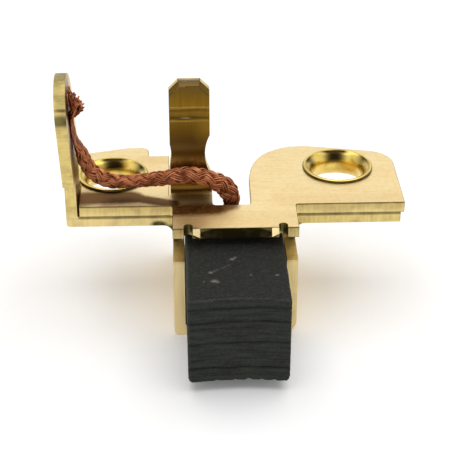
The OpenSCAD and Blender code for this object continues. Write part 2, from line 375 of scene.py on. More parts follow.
def tube(points, radii, sides):
    """Corners and faces of a closed tube along points, with a (thickness, width) at each."""
    corners, faces = [], []
    across = Vector((0, 1, 0))
    last = len(points) - 1
    for i, p in enumerate(points):
        t = (Vector(points[min(i + 1, last)]) - Vector(points[max(i - 1, 0)])).normalized()
        b = (across - t * t.dot(across)).normalized()
        n = t.cross(b)
        thick, wide = (float(r) for r in radii[i])
        for k in range(sides):
            a = 2 * math.pi * k / sides
            corners.append(Vector(p) + thick * math.cos(a) * n + wide * math.sin(a) * b)
    for i in range(last):
        for k in range(sides):
            m = (k + 1) % sides
            a, b = i * sides, (i + 1) * sides
            faces.append((a + k, a + m, b + m, b + k))
    faces.append(tuple(range(sides))[::-1])
    faces.append(tuple(last * sides + k for k in range(sides)))
    return corners, faces


def closed_mesh(name, corners, faces):
    """A smooth mesh of closed surfaces whose faces all look outwards."""
    mesh = bpy.data.meshes.new(name)
    mesh.from_pydata([tuple(c) for c in corners], [], faces)
    with editing(mesh) as bm:
        bmesh.ops.recalc_face_normals(bm, faces=bm.faces)
    mesh.shade_smooth()
    return mesh


def mesh_of_tubes(name, tubes):
    """One mesh of several closed tubes."""
    corners, faces = [], []
    for tube_corners, tube_faces in tubes:
        start = len(corners)
        corners += tube_corners
        faces += [tuple(start + k for k in face) for face in tube_faces]
    return closed_mesh(name, corners, faces)


# -------- brass sheets

# Where the finishes change, each over a short way: within the arm's thickness, at its inner
# face, and at the box's cheeks, top and floor. All places here are in millimetres.
ARM_MIDDLE = (-17.15, -16.95)
ARM_INSIDE = (-16.2, -16.0)
CHEEKS = (5.35, 5.25)
BOX_TOP = (-2.2, -2.4)
BOX_FLOOR = (-12.1, -11.9)
# Heights of the sheets' underside and of the steps in front of the box's cheeks
SHEETS_FOOT = -2.4
CHEEK_TOP = -3.9


def rolled_finish(look):
    """Rolled brass: cloudy tarnish, fine rolling marks, scratches, brown heat tint round the weld,
    and painted shadow and reflection of the pigtail.
    """
    finish = Finish("rolled_brass", Metallic=1.0)
    cloud = finish.noise(0.32, detail=5, shift=3)
    speckle = finish.noise(2.6, detail=5, shift=9)
    rolled = finish.noise(detail=4, stretch=(0.3, 9, 9))
    streaks = finish.noise(stretch=(0.22, 3.2, 3.2), shift=4).ramp(0.5, 0.72)
    lines = finish.noise(detail=2, stretch=(0.5, 14, 0.5), turn=0.7).ramp(0.66, 0.7)
    dulled = cloud.ramp(0.42, 0.72) * 0.35 + speckle.ramp(0.48, 0.8) * 0.5 + streaks * 0.35
    tone = finish.mix(dulled, look.face, look.tarnish)
    across, height = finish.place.part("X"), finish.place.part("Z")
    ragged = (speckle - 0.5) * 0.7 + 1
    inner = across.ramp(*ARM_MIDDLE)
    # Tarnish stains, and streaks of painted shadow, reflection and shade
    for a, b, half_width, share, colour in STAINS_AND_SHADE:
        stain_and_shade = finish.streak(a, b, half_width) * ragged * inner * share
        tone = finish.mix(stain_and_shade, tone, getattr(look, colour))
    inside = across.math("ABSOLUTE").ramp(*CHEEKS)
    inside = inside * height.ramp(*BOX_TOP) * height.ramp(*BOX_FLOOR)
    tone = finish.mix(inside * (cloud * 0.5 + 0.65), tone, look.soot_and_shade)
    roughness = cloud * 0.14 + lines * 0.08 + rolled * 0.1 + 0.24
    return finish.finished(tone, roughness, rolled * 0.5 + speckle * 0.6 + lines * 0.4, 0.008)


def blade_finish(look):
    """The blade: painted dark reflection in front, with painted highlight and shade lines where the
    groove was pressed, paler behind.
    """
    finish = Finish("blade_brass", Metallic=1.0)
    fine = finish.noise(stretch=(8, 8, 0.4))
    cloud = finish.noise(0.5, detail=4, shift=6)
    height = finish.place.part("Z") + (cloud - 0.5) * 0.25
    stops = [
        (z / BLADE_TOP, tuple(share * c for share, c in zip(shares, look.blade)))
        for z, *shares in BLADE_REFLECTION_TONES
    ]
    front = finish.ramp(height / BLADE_TOP, stops)
    brown = finish.mix(fine.ramp(0.4, 0.7) * 0.35, front, shade(look.blade, 0.5))
    brown = finish.mix(finish.spot(*PAINTED_BLADE_HIGHLIGHT) * 0.7, brown, shade(look.blade, 1.7))
    behind = finish.place.part("Y").ramp(*BLADE_MIDDLE)
    back = finish.mix(cloud.ramp(0.4, 0.65), look.tarnish, shade(look.tarnish, 0.6))
    return finish.finished(finish.mix(behind, brown, back), cloud * 0.15 + 0.26, fine, 0.008)


def sheared_finish(look, name, along):
    """A cut edge: lines left by the shear across the sheet, with painted shade in places."""
    finish = Finish(name, Metallic=1.0)
    stretch = tuple(0.35 if axis == along else 4 for axis in "XYZ")
    lines = finish.noise(detail=4, stretch=stretch)
    blotch = finish.noise(0.9, detail=4, shift=5)
    dulled = lines.ramp(0.35, 0.7) * 0.3 + blotch.ramp(0.45, 0.7) * 0.55
    brown = shade(look.tarnish, 0.62)
    tone = finish.mix(dulled, look.sheared, brown)
    across, height = finish.place.part("X"), finish.place.part("Z")
    # Painted shade towards the top, painted highlight along the foot of each sheet and on the left
    # of the lower sheet, and a bright painted reflection on the box
    shaded = height.ramp(-1.0, -0.1) * height.ramp(0.2, 0.0)
    tone = finish.mix(shaded * 0.4, tone, brown)
    upper_foot = height.ramp(-0.5, -1.1) * height.ramp(-1.5, -1.2)
    lower_foot = height.ramp(-1.35, -1.6) * height.ramp(-2.7, -2.4) * across.ramp(5.0, -5.0)
    box = height.ramp(-3.7, -4.3) * across.ramp(1.0, -1.0, 0.55, 1.0)
    painted_highlight = upper_foot * 0.3 + lower_foot * 0.35 + box
    tone = finish.mix(painted_highlight, tone, shade(look.face, 1.1))
    ragged = blotch * 0.6 + 0.7
    # Painted shade lines at the top edge and in the seam between the sheets
    for level, reach, share in PAINTED_SHADE_LINES:
        line = (height - level).math("ABSOLUTE").ramp(1.3 * reach, 0.6 * reach) * share
        line = line * across.ramp(*ARM_INSIDE) * ragged
        tone = finish.mix(line, tone, look.rim)
    # Painted shade and dark reflection in places on the cut edges
    for centre, radii, soft, share in PAINTED_SHADE_SPOTS:
        painted_shade = finish.spot(centre, radii, soft) * ragged * share
        tone = finish.mix(painted_shade, tone, look.soot_and_shade)
    return finish.finished(tone, lines * 0.2 + 0.32, lines + blotch * 0.5, 0.03)


def rim_finish(look):
    """The rounding that the die leaves along an edge: painted dark for the shade and reflection
    along it, with bright rubbed stretches.
    """
    finish = Finish("rolled_rim", Metallic=1.0)
    rubbed = finish.noise(0.8, detail=4, shift=8).ramp(0.55, 0.75) * 0.3
    finish.set(Base_Color=finish.mix(rubbed, look.rim, look.face), Roughness=0.42 - rubbed * 0.15)
    return finish.material


# Stains and painted shade: from, to, half width in millimetres, strength, which of the settings'
# colours
STAINS_AND_SHADE = (
    ((5.5, 5.4, 0), (17, 5.4, 0), 1.3, 0.4, "tarnish"),
    ((-6, 1.6, 0), (6, 1.6, 0), 1.5, 0.4, "tarnish"),
    ((-9.6, 15, 0), (-7, 14.6, 0), 0.9, 0.45, "tarnish"),
    # Painted dark reflection of the block in the two prongs
    ((-3.97, -0.15, -0.15), (-3.97, -0.75, -0.75), 0.5, 0.42, "soot_and_shade"),
    ((3.97, -0.15, -0.15), (3.97, -0.75, -0.75), 0.5, 0.2, "soot_and_shade"),
    # Heat tint up the arm at the weld, with painted reflection of the copper
    ((-16.3, 6.6, 3.5), (-16.6, 6.6, 11.3), 2.9, 0.95, "heat"),
    # Painted shadow of the braid in front of the blade
    ((-4.5, 8, 0), (-4.5, 5.4, 0), 1.75, 0.95, "tarnish"),
    # Painted shade in the corner at the arm's foot
    ((-16.2, 6.3, 4), (-16, 6.2, 0), 1.6, 0.8, "heat"),
    # Painted shadow and reflection of the pigtail on the left ear and the strip
    ((-15.2, 6.5, 0), (-10.7, 6.6, 0), 1.1, 1.5, "heat"),
    ((-10.7, 6.6, 0), (-6.4, 5.1, 0), 0.7, 1.35, "heat"),
    ((-6.2, 3.7, 0), (-2, 3.9, 0), 1.15, 0.95, "heat"),
    ((-2.4, 3.8, 0), (-0.3, 4.4, 0), 0.8, 0.7, "heat"),
)
# Painted shade and dark reflection on the cut edges: centre, radii, softness, strength
PAINTED_SHADE_SPOTS = (
    ((-17, 5, 14.2), (1.5, 4, 2.6), 0.15, 0.62),
    ((-4.8, 0.5, -0.6), (0.5, 0.7, 0.7), 0.3, 0.9),
    ((4.8, 0.5, -0.6), (0.5, 0.7, 0.7), 0.3, 0.9),
    ((-7.8, 4.5, -2.25), (0.8, 0.9, 0.45), 0.3, 0.95),
    ((0, 0, -0.75), (3.75, 0.8, 0.85), 0.06, 1),
    ((-6.4, 4.5, -3.1), (1.4, 0.9, 0.85), 0.2, 0.9),
    ((6.4, 4.5, -3.1), (1.4, 0.9, 0.85), 0.2, 0.9),
    ((-17, 3.4, 11.45), (0.9, 1.2, 0.14), 0.6, 0.75),
    ((-17, 3.2, 10.45), (1.8, 1.4, 0.55), 0.4, 0.8),
)
# Painted shade lines along the cut edges, at the top and in the seam between the sheets: height,
# half width in millimetres, strength
PAINTED_SHADE_LINES = ((-0.06, 0.1, 0.6), (-1.3, 0.17, 0.7))
BLADE_TOP = 12.4
# Y within the blade's thickness, and its painted highlight spot: centre, radii, softness
BLADE_MIDDLE = (8.3, 8.8)
PAINTED_BLADE_HIGHLIGHT = ((-2.5, 7.8, 7.3), (1.0, 2, 1.4), 0.9)
# Painted reflection up the blade's front, with painted highlight and shade lines at the groove's
# edges: height in millimetres and shares of the blade's colour
BLADE_REFLECTION_TONES = (
    (0.4, 1, 0.95, 1.3), (1.3, 0.75, 0.7, 1.1), (2.2, 1.6, 1.8, 3), (3.4, 2.3, 2.8, 6),
    (3.85, 1.2, 1.25, 2.6), (4.2, 0.52, 0.44, 0.65), (4.55, 0.42, 0.34, 0.5),
    (5.1, 0.72, 0.72, 1.7), (5.8, 0.5, 0.42, 0.9), (6.8, 0.66, 0.6, 0.6), (8, 0.92, 0.9, 1),
    (8.15, 1.8, 2, 3.2), (8.3, 1, 1.05, 1.1), (8.45, 0.2, 0.18, 0.3), (8.65, 0.9, 0.9, 0.8),
    (9, 1.25, 1.2, 1.6), (9.25, 0.85, 0.8, 0.7), (9.42, 0.75, 0.7, 0.6), (9.5, 2.1, 2.3, 3.8),
    (9.7, 2, 2.2, 3.6), (9.8, 1.3, 1.25, 1), (11.3, 0.85, 0.88, 1.1), (12, 0.75, 0.75, 1.8),
    (12.3, 0.5, 0.62, 1.9),
)
# Folds pressed tighter outside, under the arm and at the box's lower left: middle in X and
# Z, radius, sharpness
FOLDS = (((-16.0, -1.0), 1.35, 12), ((-4.97, -11.5), 1.4, 7))
# The right ear's outer back corner on each sheet, how far round it the rounding is widened,
# and how many times
EAR_CORNERS = {"upper_plate": (17.7, 15.8), "lower_plate": (17.35, 15.45)}
CORNER_REACH = 1.6
CORNER_GROWTH = 1.65
# The right ear's inner side, curved from the slot round to its back edge, the middle that
# it bends round, and the outline that it stands for: least and most X, and least Y
EAR_CURVE = (
    (1.8, 10.5), (2.09, 12.41), (2.46, 13.78), (3, 14.93), (3.6, 15.76), (4.42, 16.5),
    (5.58, 17.2), (6.72, 17.6),
)
EAR_MIDDLE = (8, 11)
EAR_REACH = (1.6, 7.2, 10.4)


def in_ear_curve(place):
    """True on the outline of the right ear's inner side."""
    least, most, front = EAR_REACH
    return least < place[0] < most and place[1] > front


def sharpen_fold(mesh, middle, radius, power):
    """Presses the outside of a fold, on its lower left, into a tighter corner."""
    for vertex in mesh.vertices:
        x, z = vertex.co.x / MM - middle[0], vertex.co.z / MM - middle[1]
        if x < 0.01 and z < 0.01 and abs(math.hypot(x, z) - radius) < 0.02:
            a = math.atan2(-z, -x)
            out = (abs(math.cos(a)) ** power + abs(math.sin(a)) ** power) ** (-1 / power)
            vertex.co.x = (middle[0] - radius * out * math.cos(a)) * MM
            vertex.co.z = (middle[1] - radius * out * math.sin(a)) * MM
    mesh.update()


def round_corner(mesh, corner):
    """Widens the rounding of an ear's corner, which grows from the corner's own point."""
    for vertex in mesh.vertices:
        x, y = vertex.co.x / MM - corner[0], vertex.co.y / MM - corner[1]
        if math.hypot(x, y) < CORNER_REACH:
            vertex.co.x = (corner[0] + CORNER_GROWTH * x) * MM
            vertex.co.y = (corner[1] + CORNER_GROWTH * y) * MM
    mesh.update()


def lengths_along(points):
    """How far along a line each of its points lies."""
    gaps = np.linalg.norm(np.diff(points, axis=0), axis=1)
    return np.concatenate([[0], np.cumsum(gaps)])


def curve_the_ear(mesh):
    """Draws the corners of the right ear's inner side out into one smooth curve."""
    with editing(mesh) as bm:
        long_edges = []
        for edge in bm.edges:
            ends = [vertex.co / MM for vertex in edge.verts]
            level = edge.calc_length() > 0.5 * MM and abs(ends[0].z - ends[1].z) < 0.1
            if level and all(in_ear_curve(end) for end in ends) and edge.calc_face_angle(0) > 1:
                long_edges.append(edge)
        bmesh.ops.subdivide_edges(bm, edges=long_edges, cuts=9)
    ring = {
        i: (round(x, 3), round(y, 3), z)
        for i, (x, y, z) in enumerate(coordinates(mesh)) if in_ear_curve((x, y))
    }
    places = sorted(
        {corner[:2] for corner in ring.values()},
        key=lambda q: math.atan2(q[0] - EAR_MIDDLE[0], q[1] - EAR_MIDDLE[1]),
    )
    target = np.array([*EAR_CURVE, places[-1]])
    reach, steps = lengths_along(target), lengths_along(places)
    share = steps / steps[-1] * reach[-1]
    moved = {q: (np.interp(d, reach, target[:, 0]), np.interp(d, reach, target[:, 1]))
             for q, d in zip(places, share)}
    for i, (x, y, z) in ring.items():
        mesh.vertices[i].co = Vector((*moved[(x, y)], z)) * MM
    mesh.update()


def is_upper_cut(centre, normal):
    """True for a cut edge of the upper sheet or its blade."""
    if centre.z > 0.8:  # the blade
        return abs(normal.y) < 0.5 and centre.z < 12.2
    if centre.y > 6.9 and -6.6 < centre.x < -2.2:  # the blade's fold
        return abs(normal.x) > 0.9
    return abs(normal.z) < 0.3 and centre.z < 0


def is_lower_cut(centre, normal):
    """True for a cut edge of the lower sheet, its box or its arm."""
    if centre.x < -16.05 and centre.z > SHEETS_FOOT and centre.y < 10:  # the arm
        return abs(normal.y) > 0.7 or (centre.z > 2.5 and abs(normal.x) < 0.5)
    if centre.z > SHEETS_FOOT and abs(centre.x) > 7.4:  # the ears
        return abs(normal.z) < 0.3
    if abs(normal.y) > 0.9:  # the box's ends
        return True
    return normal.z > 0.9 and abs(centre.z - CHEEK_TOP) < 0.1


# Places of the finishes in the sheets' material slots
ROLLED, SHEARED, BLADE, SHEARED_ARM, RIM = range(5)
# Degrees from which an edge of the sheets looks sharp, and from which it is rounded
SHARP_ANGLE = 35
BEVEL_ANGLE = 40


class BRUSH_OT_sheets(bpy.types.Operator):
    """Rounds the edges of the two stamped sheets and finishes them as rolled brass"""

    bl_idname = "brush.finish_sheets"
    bl_label = "Finish the brass sheets"

    def execute(self, context):
        look = context.scene.brush_sheet
        finishes = (
            rolled_finish(look), sheared_finish(look, "sheared_brass", "Z"),
            blade_finish(look), sheared_finish(look, "sheared_arm", "X"), rim_finish(look),
        )
        for node, is_cut in (("upper_plate", is_upper_cut), ("lower_plate", is_lower_cut)):
            piece = solid_copy(node, node + "_sheet")
            mesh = piece.data
            if node == "upper_plate":
                curve_the_ear(mesh)
            else:
                for fold in FOLDS:
                    sharpen_fold(mesh, *fold)
            round_corner(mesh, EAR_CORNERS[node])
            for material in finishes:
                mesh.materials.append(material)
            for polygon in mesh.polygons:
                centre = polygon.center / MM
                finish = ROLLED
                if is_cut(centre, polygon.normal):
                    finish = SHEARED_ARM if centre.x < -16 and centre.z > 0 else SHEARED
                elif node == "upper_plate" and centre.z > 0.05 and centre.y > 6.5:
                    finish = BLADE
                polygon.material_index = finish
            smooth(mesh, SHARP_ANGLE)
            bevel = piece.modifiers.new("stamped edges", "BEVEL")
            bevel.width = look.edge
            bevel.segments = 2
            bevel.limit_method = "ANGLE"
            bevel.angle_limit = math.radians(BEVEL_ANGLE)
            bevel.material = RIM
            bevel.harden_normals = True
            apply_modifiers(piece)
            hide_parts(node)
            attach(piece, "holder")
        return {"FINISHED"}


# -------- eyelets

# Half of the eyelet's section, from the middle of the sheets up: radius and height in millimetres
LIP_SECTION = (
    (2.65, 0.0), (2.66, 0.25), (2.69, 0.45), (2.75, 0.65), (2.84, 0.85), (2.96, 1.04), (3.1, 1.2),
    (3.26, 1.33), (3.42, 1.42), (3.55, 1.46), (3.66, 1.45), (3.74, 1.4), (3.78, 1.31), (3.77, 1.22),
    (3.62, 1.19), (3.3, 1.18), (3.17, 1.12), (3.15, 0.9), (3.15, 0.0),
)
EYELET_SIDES = 96
# Half the thickness of both sheets together, and the radii where the lip's dents start and where
# the painted dark reflection in the bore ends
HALF_STACK = 1.175
LIP_START = 3.2
BORE_SHADE_END = 3.5


def turned_eyelet(node):
    """A tube flared over both sheets: the section turned round the bore's middle."""
    low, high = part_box(node)
    middle = (Vector(low) + Vector(high)) / 2
    section = [(radius, height) for radius, height in LIP_SECTION]
    section += [(radius, -height) for radius, height in LIP_SECTION[-2:0:-1]]
    count = len(section)
    corners, faces = [], []
    for k in range(EYELET_SIDES):
        a = 2 * math.pi * k / EYELET_SIDES
        dent = 1 + 0.004 * math.sin(3 * a + middle.x * 900) + 0.002 * math.sin(7 * a)
        for radius, height in section:
            r = radius * dent if radius > LIP_START else radius
            corners.append(middle + Vector((r * math.cos(a), r * math.sin(a), height)) * MM)
        for i in range(count):
            j, here, after = (i + 1) % count, k * count, (k + 1) % EYELET_SIDES * count
            faces.append((here + i, here + j, after + j, after + i))
    mesh = closed_mesh(node + "_turned", corners, faces)
    p = coordinates(mesh) - np.array(middle) / MM
    radius = np.hypot(p[:, 0], p[:, 1])
    angle = np.abs(np.arctan2(p[:, 0], p[:, 1]))
    up = p[:, 2] / HALF_STACK
    within = radius < BORE_SHADE_END
    # Painted dark reflection at the back and the sides of the bore, and a painted shade ring near
    # the lip's crest
    stain_and_shade = bell(angle, 0.42, 4) * within * np.clip(up * 3 - 0.3, 0, 1)
    sides = bell(angle - 1.15, 0.22) * within * np.clip(up, 0, 1)
    ring = bell(radius - 3.36, 0.09) * 0.7
    store(mesh, "stain_and_shade", np.clip(stain_and_shade + 0.75 * sides + ring * (up > 0), 0, 1))
    # Painted shadow where the lip's foot meets the sheet
    store(mesh, "skirt_shadow", np.clip((radius - 3.66) / 0.06, 0, 1))
    return add_object(node + "_rolled", mesh)


class BRUSH_OT_eyelets(bpy.types.Operator):
    """Turns the two flared eyelets and finishes them as polished brass"""

    bl_idname = "brush.finish_eyelets"
    bl_label = "Finish the eyelets"

    def execute(self, context):
        look = context.scene.brush_eyelet
        finish = Finish("eyelet_brass", Metallic=1.0)
        cloud = finish.noise(0.8, detail=4)
        marks = finish.noise(stretch=(1.2, 1.2, 12))
        tone = finish.mix(cloud.ramp(0.42, 0.7) * 0.7, look.colour, shade(look.colour, 0.6))
        # Painted dark reflection in the bore and painted shadow round the lip's foot
        tone = finish.mix(finish.attribute("stain_and_shade"), tone, look.dark)
        tone = finish.mix(finish.attribute("skirt_shadow") * 0.9, tone, look.dark)
        roughness = cloud * 0.12 + marks * 0.06 + look.roughness
        material = finish.finished(tone, roughness, marks + cloud, 0.01)
        for node in ("eyelet_left", "eyelet_right"):
            piece = turned_eyelet(node)
            smooth(piece.data)
            piece.data.materials.append(material)
            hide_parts(node)
            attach(piece, "holder")
        return {"FINISHED"}


# -------- carbon block

# Cutting lines across the contact face: height, depth and half width in millimetres
CUTTING_LINES = (
    (-3.1, 0.09, 0.14), (-3.8, 0.03, 0.1), (-4.65, 0.11, 0.14), (-5.35, 0.04, 0.11),
    (-6.2, 0.03, 0.09), (-7.1, 0.1, 0.12), (-8.2, 0.035, 0.1), (-9.0, 0.04, 0.11),
    (-10.05, 0.11, 0.15), (-10.8, 0.04, 0.1),
)
# Nicks in the lower edge of the contact face: place across, half width and depth
NICKS = (
    (-2.2, 0.16, 0.1), (0.95, 0.28, 0.14), (-0.4, 0.15, 0.04), (2.2, 0.25, 0.1), (3.5, 0.2, 0.1),
)
# Light scuffs on the upper face and the contact face: x, y, z and radius
SCUFFS = (
    (-2.28, -6.52, -2.05, 0.36), (-2, -6.75, -2.05, 0.2), (-0.39, -2.57, -2.05, 0.26),
    (-0.1, -2.3, -2.05, 0.18), (3.88, -5.64, -2.05, 0.2), (1.3, -5.5, -2.05, 0.12),
    (-3.3, -6.6, -2.05, 0.12), (0.89, -9.95, -5.88, 0.24), (-2.6, -5, -2.05, 0.24),
)
# A scratch on the upper face, from one x and y to another
SCRATCH = ((-2.44, -4.9), (-0.73, -3.68))
# Radius that the contact face is worn to, and the unworn land along each of its sides
CONTACT_RADIUS = 30.0
LAND = 0.1
# How deep under a face a corner still counts as on it, and under the contact face
SKIN = 0.1
FRONT_SKIN = 0.12
# X over which the painted highlight on the block's left side starts
LEFT_HIGHLIGHT = (-4.7, -4.95)
# The block lies a little skew in its clearance: how far left its front is, how much further
# its back is, and the gap to the box's floor
SIDE_REST = 0.03
SKEW = 0.14
FLOOR_GAP = 0.05


def rough(points, size, seed):
    """Smooth noise from about -1 to 1 at points, with features of the given size."""
    shift = Vector((seed, 3 * seed, 7 * seed))
    return np.array([noise.noise(Vector(point) / size + shift) for point in points])


def wear_block(mesh, chip):
    """Chips the block's edges, cuts the lines across its face, and marks what they expose."""
    p = coordinates(mesh)
    low, high = p.min(0), p.max(0)
    half = high[0]
    sag = math.sqrt(CONTACT_RADIUS**2 - (half - LAND) ** 2)
    front = low[1] - sag + np.sqrt(CONTACT_RADIUS**2 - p[:, 0] ** 2)
    depth = {
        "left": p[:, 0] + half, "right": half - p[:, 0], "front": p[:, 1] - front,
        "back": high[1] - p[:, 1], "under": p[:, 2] - low[2], "top": high[2] - p[:, 2],
    }
    inward = {
        "left": (1, 0, 0), "right": (-1, 0, 0), "front": (0, 1, 0),
        "back": (0, -1, 0), "under": (0, 0, 1), "top": (0, 0, -1),
    }
    coarse, fine = rough(p, 0.9, 1), rough(p, 0.3, 2)
    edges = (
        ("front", "under", 0.55), ("front", "top", 0.9), ("front", "left", 1.0),
        ("front", "right", 1.1), ("top", "left", 0.8), ("top", "right", 0.8),
        ("back", "under", 0.5), ("back", "top", 0.5), ("back", "left", 0.5), ("back", "right", 0.5),
    )
    move = np.zeros_like(p)
    exposed = np.zeros(len(p))
    for a, b, share in edges:
        width = chip * share * (1.1 + 1.3 * coarse + 0.9 * fine)
        if (a, b) == ("front", "under"):
            for x, reach, deep in NICKS:
                width = width + 2 * deep * bell(p[:, 0] - x, reach)
        cut = np.clip(width - depth[a] - depth[b], 0, None) / 2
        move += cut[:, None] * (np.array(inward[a]) + np.array(inward[b]))
        exposed = np.maximum(exposed, np.clip(cut / 0.05, 0, 1))
    on_front = depth["front"] < FRONT_SKIN
    groove = np.zeros(len(p))
    wave, broken = rough(p * (1, 0, 0.2), 2.2, 5), rough(p * (0.5, 0, 3), 1.0, 6)
    for z, deep, reach in CUTTING_LINES:
        line = bell(p[:, 2] - z - 0.16 * wave, reach) * (0.75 + 0.5 * broken)
        cut = np.where(on_front, line * deep, 0)
        move[:, 1] += cut
        groove = np.maximum(groove, cut / 0.09)
    pits = np.clip(fine - 0.25, 0, None) * 0.12
    for side, direction in inward.items():
        near = (depth[side] < SKIN)[:, None]
        move += np.where(near, (0.012 * coarse + pits)[:, None] * np.array(direction), 0)
    scuffed = np.zeros(len(p))
    for x, y, z, reach in SCUFFS:
        far = np.linalg.norm((p - (x, y, z)) / (reach, 0.8 * reach, reach), axis=1)
        scuffed = np.maximum(scuffed, np.clip(1.25 - far + 0.35 * fine, 0, 1))
    a, b = (np.array(end) for end in SCRATCH)
    t = np.clip(((p[:, :2] - a) @ (b - a)) / ((b - a) @ (b - a)), 0, 1)
    far = np.linalg.norm(p[:, :2] - (a + t[:, None] * (b - a)), axis=1)
    on_top = depth["top"] < SKIN
    line = np.clip(1 - far / 0.12, 0, 1) * np.clip(0.5 + 1.4 * fine, 0, 1) * on_top
    scuffed = np.maximum(scuffed, line * 0.6)
    move[:, 2] -= 0.05 * scuffed * on_top
    move[:, 0] -= SIDE_REST + SKEW * (p[:, 1] - low[1]) / (high[1] - low[1])
    move[:, 2] += np.where(depth["under"] < SKIN, FLOOR_GAP, 0)
    mesh.vertices.foreach_set("co", ((p + move) * MM).ravel())
    store(mesh, "exposed", exposed)
    store(mesh, "groove", np.clip(groove, 0, 1))
    store(mesh, "scuffed", scuffed)
    store(mesh, "contact", on_front)
    mesh.update()


def carbon_finish(look):
    """Pressed graphite: dark, with grains of coke, duller dust in the cut face, and a painted
    highlight along the left side.
    """
    finish = Finish("pressed_graphite", Metallic=0.0, Specular_IOR_Level=0.18)
    grain = finish.noise(5.5, detail=5)
    coarse = finish.noise(1.6, detail=4, shift=7)
    layers = finish.noise(stretch=(0.35, 1, 4), shift=2)
    marks = ("contact", "groove", "scuffed", "exposed")
    contact, groove, scuffed, exposed = (finish.attribute(mark) for mark in marks)
    dusty = grain.ramp(0.49, 0.63) * 0.3 + coarse.ramp(0.5, 0.7) * 0.16
    dusty = dusty + contact * (layers.ramp(0.38, 0.62) * 0.5 + 0.36) + exposed * 0.25
    # Painted highlight along the block's left side
    left = finish.place.part("X").ramp(*LEFT_HIGHLIGHT) * (coarse * 0.9 + 0.2)
    tone = finish.mix(dusty + left, look.colour, look.light)
    tone = finish.mix(groove * 0.85, tone, shade(look.colour, 0.3))
    tone = finish.mix(scuffed, tone, look.scuff)
    height = grain * 1.2 + coarse * 0.7 + contact * layers * 1.2
    return finish.finished(tone, 0.82 - grain * 0.22 - scuffed * 0.1, height, 0.08)


class BRUSH_OT_block(bpy.types.Operator):
    """Wears the carbon block: chipped edges, cutting lines, pits and light scuffs"""

    bl_idname = "brush.wear_block"
    bl_label = "Wear the carbon block"

    def execute(self, context):
        look = context.scene.brush_block
        piece = solid_copy("carbon_block", "carbon_block_worn")
        remesh = piece.modifiers.new("even surface", "REMESH")
        remesh.mode = "VOXEL"
        remesh.voxel_size = look.grain
        mesh = apply_modifiers(piece)
        wear_block(mesh, look.chip / MM)
        smooth(mesh)
        mesh.materials.clear()
        mesh.materials.append(carbon_finish(look))
        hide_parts("carbon_block")
        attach(piece, "block")
        return {"FINISHED"}


# -------- pigtail

# The pigtail's line from the block to the weld: x, y, z, half thickness, half width
ROUTE = (
    (-0.3, 6.3, -4.5, 1, 1), (-0.3, 6.3, -2, 1, 1), (-0.25, 6.3, -0.9, 1, 1),
    (-0.3, 6.35, 0, 1.15, 1.05), (-0.6, 6.4, 0.8, 1.25, 1.05), (-1.2, 6.5, 1.4, 1.25, 1.05),
    (-2.1, 6.6, 1.88, 1.15, 1), (-3.2, 6.7, 2.22, 1.1, 1), (-4.4, 6.75, 2.4, 1.15, 1),
    (-5.6, 6.8, 2.35, 1.1, 1), (-6.9, 6.9, 2.1, 1, 1), (-8.2, 7.1, 1.85, 0.95, 1),
    (-9.6, 7.3, 1.6, 0.85, 1.05), (-11, 7.4, 1.45, 0.85, 1.1), (-12.4, 7.4, 1.5, 0.95, 1),
    (-13.6, 7.3, 1.95, 1, 1), (-14.6, 7.15, 2.85, 1, 1), (-15.15, 7, 3.9, 0.95, 1.05),
    (-15.5, 6.9, 5, 0.85, 1.15), (-15.85, 6.8, 6, 0.6, 1.2), (-16.15, 6.7, 7, 0.34, 1.3),
    (-16.3, 6.65, 8, 0.22, 1.4), (-16.36, 6.6, 8.9, 0.24, 1.4), (-16.25, 6.55, 9.6, 0.4, 1.4),
    (-16.05, 6.5, 10.2, 0.65, 1.3), (-16, 6.5, 10.8, 0.7, 1.2), (-16.2, 6.5, 11.4, 0.45, 1),
    (-16.45, 6.5, 12, 0.22, 0.7),
)
ROUTE_STEPS = 6
BRAID_RADIUS = 0.85
THINNEST = 0.12
BRAID_SAMPLES = 300
# How far a bundle rises over the one that it crosses, and how far apart its wires lie
LIFT = 0.14
SPREAD = 0.24
# How fast the wires stray, along the line and from wire to wire, and how far round and out
STRAY_PLACES = (420.0, 5.3)
STRAY_TURN = 0.25
STRAY_RISE = 0.14
# Half thickness and half width of the core under the braid, as shares of the braid's
CORE_SHARES = (0.74, 0.8)
CORE_SIDES = 12
# The bend under the weld, which is made brighter: centre, radii, softness
BRIGHT_BEND = ((-14.9, 7, 3.2), (1.5, 2.5, 3.2), 0.5)
# Frayed wires: X and Z where the highest ends and starts, and from there to the lowest's
FRAY_ENDS = ((-16.5, 12.45), (1.45, -1.95))
FRAY_STARTS = ((-16.35, 10.7), (0.5, -1.0))
WELD_Y = 6.5
FRAY_WIRES = 70
FRAY_RADIUS = 0.09
FRAY_STEPS = 6
FRAY_SIDES = 5


def fine_route():
    """The route as a smooth line of many points, from a spline through the listed ones."""
    points = np.array([ROUTE[0], *ROUTE, ROUTE[-1]])
    fine = []
    for a, b, c, d in zip(points, points[1:], points[2:], points[3:]):
        for k in range(ROUTE_STEPS):
            t = k / ROUTE_STEPS
            bent = (2 * a - 5 * b + 4 * c - d) * t**2 + (3 * b - a - 3 * c + d) * t**3
            fine.append(0.5 * (2 * b + (c - a) * t + bent))
    return np.array(fine + [points[-1]])


def copper_finish(look):
    """Bare copper wire, bright on its crests and brown where it has tarnished."""
    finish = Finish("copper_wire", Metallic=1.0)
    patch = finish.noise(0.7, detail=4)
    fine = finish.noise(5, shift=4)
    dull = patch.ramp(0.4, 0.62) * 0.5 + fine.ramp(0.45, 0.75) * 0.22
    dull = (dull + finish.attribute("strand") * 0.6).math("MINIMUM", 1.0)
    dull = dull * (1 - finish.spot(*BRIGHT_BEND) * 0.55)
    tone = finish.mix(dull, look.copper, look.dull)
    return finish.finished(tone, patch * 0.3 + fine * 0.1 + 0.25, fine, 0.01)


